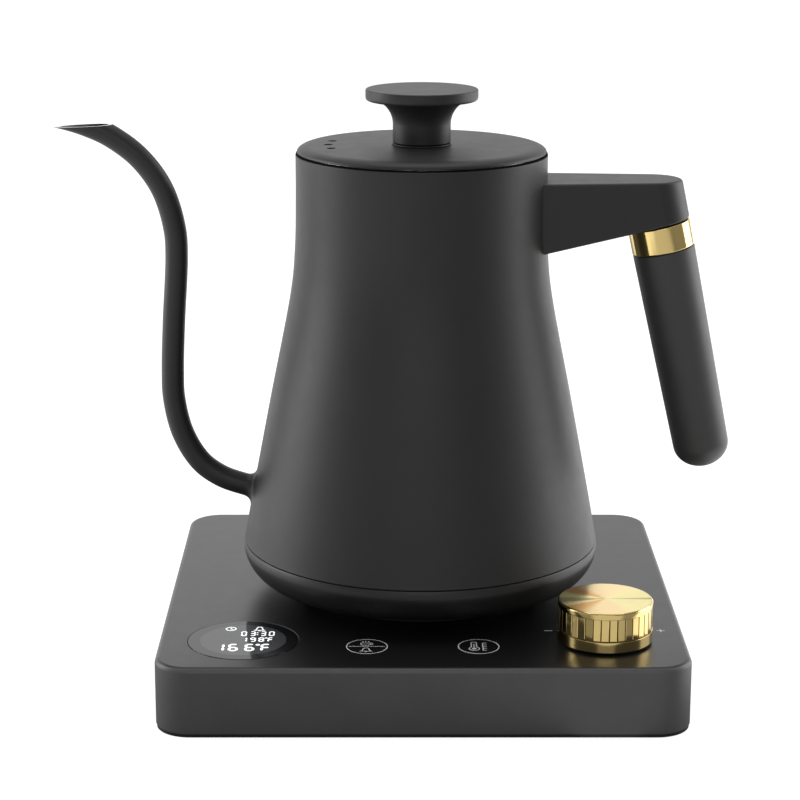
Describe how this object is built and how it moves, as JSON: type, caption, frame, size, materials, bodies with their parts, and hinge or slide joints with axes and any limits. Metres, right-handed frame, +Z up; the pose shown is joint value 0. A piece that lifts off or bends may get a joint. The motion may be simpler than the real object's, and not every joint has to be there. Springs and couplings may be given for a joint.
{
  "type": "gooseneck kettle",
  "caption": "Electric pour-over kettle with a thin gooseneck spout, bracket handle and lift-off lid, on a square heated base with a display, touch keys and a rotary dial.",
  "frame": {"origin": "middle of the whole object's outline, on the surface that it stands on", "axes": "+X from the spout towards the handle, +Y from the control side towards the back, +Z up"},
  "size_m": [0.2535, 0.1848, 0.2181],
  "materials": {
    "charcoal_coating": "matte",
    "charcoal_plastic": "matte",
    "base_shell": "satin",
    "black_plastic": "matte",
    "rubber": "matte",
    "gold": "polished",
    "display_glass": "gloss",
    "display_panel": "gloss",
    "circuit_board": "satin",
    "copper": "satin",
    "steel": "satin",
    "fastener_steel": "satin",
    "blue_plastic": "gloss",
    "brown_plastic": "satin"
  },
  "bodies": {
    "base": {"base_cover": "base_shell", "base_plate": "black_plastic", "base_screw_front_left": "fastener_steel", "base_screw_front_right": "fastener_steel", "base_screw_back_left": "fastener_steel", "base_screw_back_right": "fastener_steel", "foot_front_left": "rubber", "foot_front_right": "rubber", "foot_back_left": "rubber", "foot_back_right": "rubber", "display_lens": "display_glass", "display_bezel": "black_plastic", "display_module": "display_panel", "display_board": "circuit_board", "control_board": "circuit_board", "touch_pad_left": "copper", "touch_pad_right": "copper", "buzzer": "black_plastic", "power_board": "circuit_board", "relay": "blue_plastic", "transformer": "brown_plastic", "capacitor": "black_plastic", "connector_retainer": "black_plastic", "lead_live": "brown_plastic", "lead_neutral": "blue_plastic", "cord_gland": "black_plastic", "encoder_board": "circuit_board", "encoder_body": "fastener_steel", "encoder_nut": "fastener_steel"},
    "connector": {"connector_plug": "black_plastic"},
    "kettle": {"body_shell": "charcoal_coating", "pot_floor": "steel", "heating_element": "steel", "temperature_sensor": "steel", "thermal_cutout": "black_plastic", "lower_cover": "charcoal_plastic", "cover_screw_1": "fastener_steel", "cover_screw_2": "fastener_steel", "cover_screw_3": "fastener_steel", "kettle_foot_ring": "rubber", "connector_socket": "black_plastic", "spout_tube": "charcoal_coating", "handle_bracket": "charcoal_plastic", "handle_mount": "fastener_steel", "bracket_screw": "fastener_steel", "handle_collar": "gold", "handle_grip": "charcoal_plastic", "handle_rod": "fastener_steel"},
    "lid": {"lid_plate": "charcoal_coating", "lid_knob": "charcoal_coating", "lid_washer": "black_plastic", "lid_screw": "fastener_steel", "lid_skirt": "steel", "lid_seal": "rubber"},
    "dial_rotor": {"encoder_rotor": "copper"},
    "dial": {"encoder_shaft": "fastener_steel", "dial_hub": "black_plastic", "dial_knob": "gold"}
  },
  "joints": [
    {"name": "connector_swivel", "type": "hinge", "parent": "base", "child": "connector", "pos_m": [0.0099, 0, 0.02], "axis": [0, 0, 1], "continuous": true},
    {"name": "kettle_lift", "type": "slide", "parent": "connector", "child": "kettle", "axis": [0, 0, 1], "range_m": [0, 0.06]},
    {"name": "lid_lift", "type": "slide", "parent": "kettle", "child": "lid", "axis": [0, 0, 1], "range_m": [0, 0.05]},
    {"name": "dial_turn", "type": "hinge", "parent": "base", "child": "dial_rotor", "pos_m": [0.076, -0.0627, 0.018], "axis": [0, 0, 1], "continuous": true},
    {"name": "dial_press", "type": "slide", "parent": "dial_rotor", "child": "dial", "axis": [0, 0, 1], "range_m": [-0.0005, 0], "stiffness_N_per_m": 2000, "springref_m": 0.0005}
  ]
}
